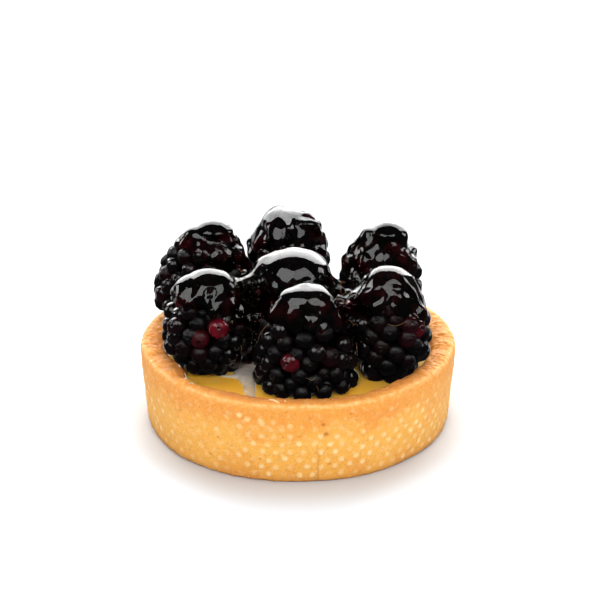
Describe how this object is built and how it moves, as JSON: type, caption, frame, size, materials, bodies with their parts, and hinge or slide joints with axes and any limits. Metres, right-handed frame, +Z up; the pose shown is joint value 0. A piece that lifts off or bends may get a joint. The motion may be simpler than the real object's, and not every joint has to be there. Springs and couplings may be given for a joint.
{
  "type": "berry tart",
  "caption": "Small round custard tart in a straight-sided crust, topped with whole glazed bramble berries standing on end.",
  "frame": {"origin": "centre of the crust's underside, on the surface that the tart stands on", "axes": "+Z up along the crust's axis, -Y toward the front, +X to the right as seen from the front"},
  "size_m": [0.0754, 0.0744, 0.0444],
  "materials": {
    "crust": "baked shortcrust, dry and slightly rough",
    "custard": "smooth moist custard",
    "berry": "black-purple berry skin under clear glaze"
  },
  "bodies": {
    "root": {"crust": "crust", "filling": "custard", "berry_front": "berry", "berry_front_left": "berry", "berry_front_right": "berry", "berry_back_left": "berry", "berry_back": "berry", "berry_back_right": "berry", "berry_middle": "berry"}
  },
  "joints": []
}
